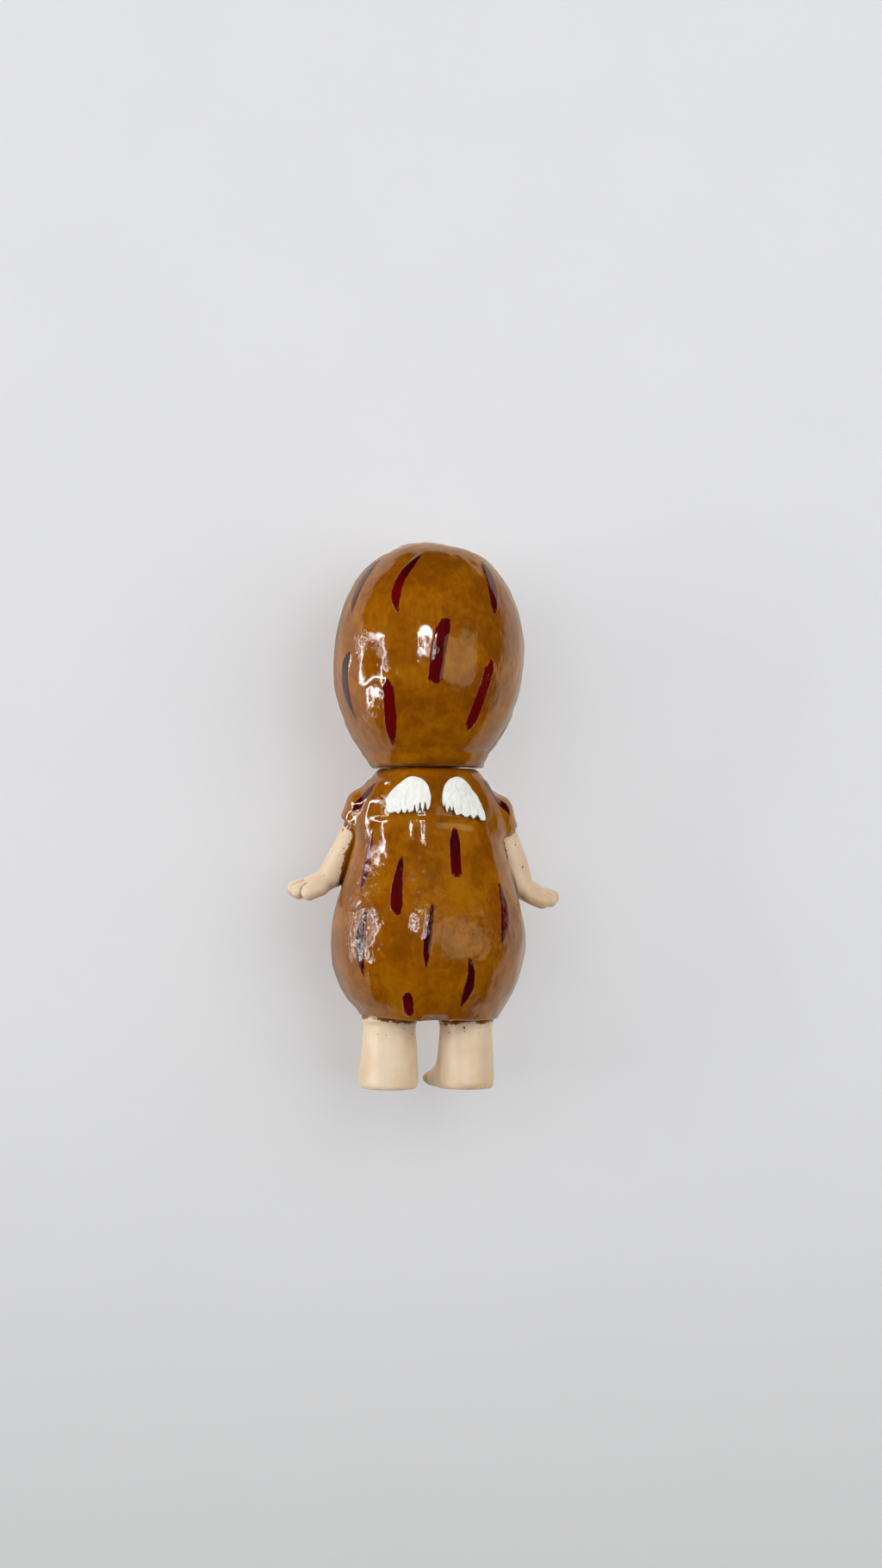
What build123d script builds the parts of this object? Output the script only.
from build123d import *
import math
import os

# A small standing doll figure in a full hood and a pear-shaped coat, in millimetres.
# The origin is on the floor between the feet, +Z is up, the face looks along -Y and the figure's left is +X.
# Soft vinyl castings carry the shape: a hollow head, a hollow torso, two solid arms and two hollow legs.
# Arms and legs end in flanged plugs that snap into the torso. The coat and the hood are built up over the
# castings, so only the head still turns, on the double-flanged neck plug.

# ---- driving dimensions -------------------------------------------------------------------------------
HEIGHT = 80.0  # floor to the crown of the hood
HOOD_HALF_WIDTH = 13.95
HOOD_WIDEST_Z = 62.4
HOOD_RISE = HEIGHT - HOOD_WIDEST_Z  # upper half-ellipse of the hood's outline
HOOD_DROP = 18.2  # lower half-ellipse, before the neck cuts it
HOOD_WALL = 1.2
EGG_STEPS = 8  # points on each half of the egg outline
VINYL_WALL = 1.6  # wall of the hollow castings
NECK_GAP = 0.2  # between the coat's neck and the hood
COAT_TOP_Z = 46.5
COAT_BOTTOM_Z = 10.2
COAT_WALL = 1.2  # thickness of the coat where it is thinnest over the torso

FACE_Z = 60.0  # centre of the hood's face opening
FACE_HALF_WIDTH = 9.3
FACE_HALF_HEIGHT = 8.7
FACE_RIM_ROUND = 0.45
NOSE_Z = 57.6
NOSE_RADIUS = 1.2
NOSE_SUNK = 0.25  # share of its radius that the nose is sunk into the face

NECK_STEM_RADIUS = 3.0
NECK_CLEARANCE = 0.05  # radial, between the stem and the head's neck hole
NECK_FLANGE_RADIUS = 3.95
NECK_FLANGE_THICK = 1.2
NECK_END_PLAY = 0.1
NECK_TIP_RADIUS = 2.2

# The outline of coat and torso: (height, half width, half depth) of each oval section, from the hem up.
COAT_SECTIONS = (
    (COAT_BOTTOM_Z, 10.1, 8.1),
    (12.0, 11.2, 9.4),
    (14.2, 12.5, 10.7),
    (17.2, 13.6, 11.8),
    (21.5, 14.2, 12.4),
    (26.2, 13.7, 11.8),
    (31.0, 12.3, 10.4),
    (36.0, 11.1, 9.3),
    (40.0, 10.7, 8.9),
    (43.2, 9.9, 8.5),
    (45.3, 8.4, 7.8),
    (COAT_TOP_Z, 6.9, 6.9),
)
TORSO_SECTIONS = (
    (COAT_BOTTOM_Z + COAT_WALL, 9.95, 7.9),
    (14.2, 11.2, 9.3),
    (21.5, 12.6, 10.8),
    (28.0, 11.2, 9.7),
    (34.0, 8.8, 7.8),
    (40.0, 6.5, 6.6),
    (COAT_TOP_Z - COAT_WALL, 5.6, 5.6),
)

LEG_X = 5.6
LEG_TOP_Z = COAT_BOTTOM_Z + COAT_WALL  # where a leg seats against the torso's floor
LEG_COLLAR_Z = 9.8  # from here up the leg is straight, so that it fits its hole in the coat
LEG_HALF_WIDTH = 4.1
LEG_HALF_DEPTH = 4.25
# The outline of a leg: (height, half width, half depth, forward shift) of each oval section, from the sole.
LEG_SECTIONS = (
    (0.0, 3.95, 5.45, 1.45),
    (0.7, 4.25, 5.8, 1.6),
    (2.4, 4.3, 5.7, 1.5),
    (4.2, 4.15, 4.95, 0.8),
    (6.6, 3.95, 4.2, 0.1),
    (LEG_COLLAR_Z, LEG_HALF_WIDTH, LEG_HALF_DEPTH, 0.0),
)
LEG_WALL = 1.5
HIP_STEM_RADIUS = 2.0
HIP_BORE_RADIUS = 1.1
HIP_FLANGE_RADIUS = 2.7
HIP_FLANGE_THICK = 0.9
# Toes, from the big one outwards: (across the foot from its inner side, forward, radius)
TOES = (
    (-2.35, 6.35, 1.35),
    (-0.7, 6.75, 1.0),
    (0.75, 6.5, 0.95),
    (2.0, 5.85, 0.9),
    (3.05, 4.9, 0.85),
)
TOE_Z = 1.15

SHOULDER = (8.9, -0.1, 40.7)
SHOULDER_RADIUS = 2.25
WRIST = (13.8, -2.3, 31.2)
WRIST_RADIUS = 1.8
ARM_PEG_RADIUS = 1.2
ARM_FLANGE_RADIUS = 1.7
ARM_FLANGE_X = 3.7
ARM_FLANGE_THICK = 0.9
PALM = (15.75, -3.0, 29.75)
PALM_SIZE = (3.1, 2.35, 1.5)  # half length, half width, half thickness
PALM_DROOP = 24.0  # degrees that the palm points below level
# Fingers, from the little one to the thumb: (knuckle, tip, radius)
FINGERS = (
    ((15.6, -1.5, 29.2), (17.3, -1.0, 28.5), 1.15),
    ((16.6, -2.4, 29.4), (18.7, -2.3, 28.6), 1.05),
    ((17.0, -3.3, 29.6), (19.25, -3.6, 29.0), 1.0),
    ((16.8, -4.2, 29.5), (18.6, -5.1, 29.0), 0.95),
    ((14.6, -3.9, 29.8), (15.5, -6.0, 29.4), 0.9),
)
SLEEVE_CENTRE = (8.3, -0.1, 40.3)
SLEEVE_RADIUS = 3.6
SLEEVE_HEM_RADIUS = 2.5
SLEEVE_HEM_SHARE = 0.34  # the hem's place, as a share of the way from shoulder to wrist

WING_X = 4.1  # centre of each wing from the back's middle line
WING_Z = 42.5
WING_THICK = 0.8
WING_FEATHERS = 5
WING_DEPTH_FRONT = 3.0  # the wings' cutter starts this far behind the middle

MIRROR = Plane.YZ


# ---- shared shapes --------------------------------------------------------------------------------------
def egg(half_width, rise, drop, floor_z):
    """A solid of revolution on a flat floor: half an ellipse above the widest height, a longer one below."""
    lowest = -math.asin((HOOD_WIDEST_Z - floor_z) / drop)
    angles = [lowest * (1 - i / EGG_STEPS) for i in range(EGG_STEPS)]
    angles += [math.pi / 2 * i / EGG_STEPS for i in range(EGG_STEPS + 1)]
    points = [
        (half_width * math.cos(t), HOOD_WIDEST_Z + (drop if t < 0 else rise) * math.sin(t)) for t in angles
    ]
    start_way = (-half_width * math.sin(lowest), drop * math.cos(lowest))
    side = Spline(*points, tangents=[start_way, (-1, 0)])
    floor = Line((0, floor_z), side @ 0)
    axis = Line(side @ 1, (0, floor_z))
    return revolve(Plane.XZ * make_face([side, axis, floor]), Axis.Z)


def oval_loft(sections, grow=0.0):
    """A smooth solid through oval sections, each grown outwards by the same amount."""
    ovals = [Plane.XY.offset(z) * Ellipse(a + grow, b + grow) for z, a, b in sections]
    return loft(ovals)


def rod(start, end, radius, end_radius=None):
    """A round rod, tapered where an end radius is given."""
    start, end = Vector(*start), Vector(*end)
    way = end - start
    base = Plane(origin=start, z_dir=way)
    if end_radius is None:
        return base * extrude(Circle(radius), way.length)
    return loft([base * Circle(radius), Plane(origin=end, z_dir=way) * Circle(end_radius)])


def capsule(start, end, radius):
    """A rod with round ends."""
    return rod(start, end, radius) + Pos(*start) * Sphere(radius) + Pos(*end) * Sphere(radius)


def between(start, end, share):
    """The point a share of the way from start to end."""
    return tuple(s + (e - s) * share for s, e in zip(start, end))


# ---- head -----------------------------------------------------------------------------------------------
HOOD_FLOOR_Z = COAT_TOP_Z + NECK_GAP
HEAD_FLOOR_TOP_Z = HOOD_FLOOR_Z + VINYL_WALL


def head_outside():
    """The casting that the hood fits over."""
    return egg(
        HOOD_HALF_WIDTH - HOOD_WALL, HOOD_RISE - HOOD_WALL, HOOD_DROP - HOOD_WALL, HOOD_FLOOR_Z
    )


def head_shell():
    """Hollow head with a nose and a plain round neck hole."""
    inset = HOOD_WALL + VINYL_WALL
    cavity = egg(
        HOOD_HALF_WIDTH - inset, HOOD_RISE - inset, HOOD_DROP - inset, HEAD_FLOOR_TOP_Z
    )
    hole_radius = NECK_STEM_RADIUS + NECK_CLEARANCE
    neck_hole = Pos(0, 0, HOOD_FLOOR_Z) * Cylinder(hole_radius, 3 * VINYL_WALL)
    face_front = HOOD_HALF_WIDTH - HOOD_WALL
    nose_reach = face_front * math.sqrt(1 - ((HOOD_WIDEST_Z - NOSE_Z) / (HOOD_DROP - HOOD_WALL)) ** 2)
    nose_place = Pos(0, -nose_reach + NOSE_SUNK * NOSE_RADIUS, NOSE_Z)
    nose = nose_place * Rot(90, 0, 0) * Sphere(NOSE_RADIUS)  # its poles point out of the face
    return (head_outside() + nose) - cavity - neck_hole


def hood_shell():
    """Hood over the head, with an oval opening for the face and a ring at the neck."""
    outside = egg(HOOD_HALF_WIDTH, HOOD_RISE, HOOD_DROP, HOOD_FLOOR_Z)
    opening = extrude(
        Plane.XZ.offset(HOOD_HALF_WIDTH / 3)
        * Pos(0, FACE_Z)
        * Ellipse(FACE_HALF_WIDTH, FACE_HALF_HEIGHT),
        HOOD_HALF_WIDTH,
    )
    cut = outside - opening
    front = min(cut.edges(), key=lambda e: e.bounding_box().max.Y)
    return fillet(front, FACE_RIM_ROUND) - head_outside()


def neck_plug():
    """Double-flanged swivel plug: its lower flange sits in the torso, its upper one retains the head."""
    torso_roof_z = COAT_TOP_Z - COAT_WALL
    lower_top_z = torso_roof_z - VINYL_WALL
    upper_z = HEAD_FLOOR_TOP_Z + NECK_END_PLAY
    tip_z = upper_z + 2 * NECK_FLANGE_THICK
    lower = extrude(
        Plane.XY.offset(lower_top_z - NECK_FLANGE_THICK) * Circle(NECK_FLANGE_RADIUS),
        NECK_FLANGE_THICK,
    )
    stem = extrude(Plane.XY.offset(lower_top_z) * Circle(NECK_STEM_RADIUS), upper_z - lower_top_z)
    upper = extrude(Plane.XY.offset(upper_z) * Circle(NECK_FLANGE_RADIUS), NECK_FLANGE_THICK / 2)
    lead_in = loft(
        [
            Plane.XY.offset(upper_z + NECK_FLANGE_THICK / 2) * Circle(NECK_FLANGE_RADIUS),
            Plane.XY.offset(tip_z) * Circle(NECK_TIP_RADIUS),
        ]
    )
    return lower + stem + upper + lead_in


# ---- limbs ----------------------------------------------------------------------------------------------
def left_arm():
    """Solid arm with a flanged shoulder peg, an open hand, four fingers and a thumb."""
    peg = rod(SHOULDER, (ARM_FLANGE_X, SHOULDER[1], SHOULDER[2]), ARM_PEG_RADIUS)
    flange = rod(
        (ARM_FLANGE_X + ARM_FLANGE_THICK, SHOULDER[1], SHOULDER[2]),
        (ARM_FLANGE_X, SHOULDER[1], SHOULDER[2]),
        ARM_FLANGE_RADIUS,
    )
    arm = rod(SHOULDER, WRIST, SHOULDER_RADIUS, WRIST_RADIUS)
    arm += Pos(*SHOULDER) * Sphere(SHOULDER_RADIUS)
    arm += Pos(*WRIST) * Sphere(WRIST_RADIUS)
    palm = Pos(*PALM) * Rot(0, PALM_DROOP, 0) * scale(Sphere(1), by=PALM_SIZE)
    arm = arm + palm + peg + flange
    for knuckle, tip, radius in FINGERS:
        arm += capsule(knuckle, tip, radius)
    return arm


def leg_loft(sections, inset=0.0):
    """A leg through its oval sections, each drawn in by the same amount."""
    return loft(
        [
            Plane.XY.offset(z) * Pos(LEG_X, -shift) * Ellipse(a - inset, b - inset)
            for z, a, b, shift in sections
        ]
    )


def leg_collar(top_z):
    """The straight oval top of the left leg, up to a given height."""
    oval = Plane.XY.offset(LEG_COLLAR_Z) * Pos(LEG_X, 0) * Ellipse(LEG_HALF_WIDTH, LEG_HALF_DEPTH)
    return extrude(oval, top_z - LEG_COLLAR_Z)


def left_leg():
    """Hollow leg on a flat sole, with five toes and a flanged hip plug whose bore vents the casting."""
    flange_z = LEG_TOP_Z + VINYL_WALL
    at_hip = Pos(LEG_X, 0, 0)
    leg = leg_loft(LEG_SECTIONS) + leg_collar(LEG_TOP_Z)
    for across, forward, radius in TOES:
        toe = Pos(LEG_X + across, -forward, TOE_Z) * Sphere(radius)
        leg += split(toe, bisect_by=Plane.XY, keep=Keep.TOP)
    cavity = leg_loft(LEG_SECTIONS[2:-1], LEG_WALL)
    stem = at_hip * extrude(Plane.XY.offset(LEG_TOP_Z) * Circle(HIP_STEM_RADIUS), VINYL_WALL)
    flange = at_hip * extrude(Plane.XY.offset(flange_z) * Circle(HIP_FLANGE_RADIUS), HIP_FLANGE_THICK)
    bore_from_z = LEG_SECTIONS[-2][0] - LEG_WALL
    bore = at_hip * extrude(
        Plane.XY.offset(bore_from_z) * Circle(HIP_BORE_RADIUS),
        flange_z + HIP_FLANGE_THICK - bore_from_z,
    )
    return (leg + stem + flange) - cavity - bore


# ---- torso and coat ---------------------------------------------------------------------------------------
def neck_bore():
    """The hole for the neck plug's stem through the coat and the torso's roof."""
    return Pos(0, 0, COAT_TOP_Z) * Cylinder(NECK_STEM_RADIUS, 8 * VINYL_WALL)


def torso_shell(arms):
    """Hollow torso with seats for the neck plug, the shoulder pegs and the hip plugs."""
    floor_z, roof_z = TORSO_SECTIONS[0][0] + VINYL_WALL, TORSO_SECTIONS[-1][0] - VINYL_WALL
    cavity = oval_loft(TORSO_SECTIONS, -VINYL_WALL)
    cavity = split(cavity, bisect_by=Plane.XY.offset(floor_z), keep=Keep.TOP)
    cavity = split(cavity, bisect_by=Plane.XY.offset(roof_z), keep=Keep.BOTTOM)
    shell = oval_loft(TORSO_SECTIONS) - cavity - neck_bore()
    for side in (-1, 1):
        shell -= Pos(side * LEG_X, 0, TORSO_SECTIONS[0][0]) * Cylinder(HIP_STEM_RADIUS, 4 * VINYL_WALL)
    for arm in arms:
        shell -= arm
    return shell


def sleeve(side):
    """Short puffed sleeve round the top of an arm."""
    hem = between(SHOULDER, WRIST, SLEEVE_HEM_SHARE)
    puff = rod(SLEEVE_CENTRE, hem, SLEEVE_RADIUS, SLEEVE_HEM_RADIUS)
    puff += Pos(*SLEEVE_CENTRE) * Sphere(SLEEVE_RADIUS)
    return puff if side > 0 else mirror(puff, about=MIRROR)


def coat_shell(arms):
    """Pear-shaped coat built over the torso, with a sleeve at each shoulder."""
    coat = oval_loft(COAT_SECTIONS) + sleeve(+1) + sleeve(-1)
    leg_hole = leg_collar(LEG_TOP_Z + COAT_WALL / 2)
    leg_holes = [leg_hole, mirror(leg_hole, about=MIRROR)]
    cutters = [oval_loft(TORSO_SECTIONS), neck_bore(), *arms, *leg_holes]
    for cutter in cutters:
        coat -= cutter
    return coat


# ---- wings --------------------------------------------------------------------------------------------
def wing_outline():
    """Flat outline of the left wing: a round shoulder, a long outer edge and a scalloped feather edge."""
    tip, root = (3.3, -3.1), (-3.0, -2.0)
    outer = Spline(tip, (2.4, 0.3), (0.2, 2.5), (-2.0, 2.3), (-3.2, 0.2), root)
    edges = [outer]
    points = [between(root, tip, i / WING_FEATHERS) for i in range(WING_FEATHERS + 1)]
    for start, end in zip(points, points[1:]):
        edges.append(SagittaArc(start, end, -0.42))
    return make_face(edges)


def left_wing():
    """Small wing that lies on the back of the coat and follows its surface."""
    outline = Plane.XZ.offset(-WING_DEPTH_FRONT) * Pos(WING_X, WING_Z) * wing_outline()
    column = extrude(outline, -HOOD_HALF_WIDTH)
    return (column & oval_loft(COAT_SECTIONS, WING_THICK)) - oval_loft(COAT_SECTIONS)


# ---- write one file per piece --------------------------------------------------------------------------
def main():
    arm, leg, wing = left_arm(), left_leg(), left_wing()
    arms = [arm, mirror(arm, about=MIRROR)]
    pieces = {
        "hood_shell": hood_shell(),
        "head_shell": head_shell(),
        "neck_plug": neck_plug(),
        "torso_shell": torso_shell(arms),
        "coat_shell": coat_shell(arms),
        "left_arm": arm,
        "right_arm": arms[1],
        "left_leg": leg,
        "right_leg": mirror(leg, about=MIRROR),
        "left_wing": wing,
        "right_wing": mirror(wing, about=MIRROR),
    }
    os.makedirs("parts", exist_ok=True)
    for name, piece in pieces.items():
        export_step(piece, f"parts/{name}.step")


main()
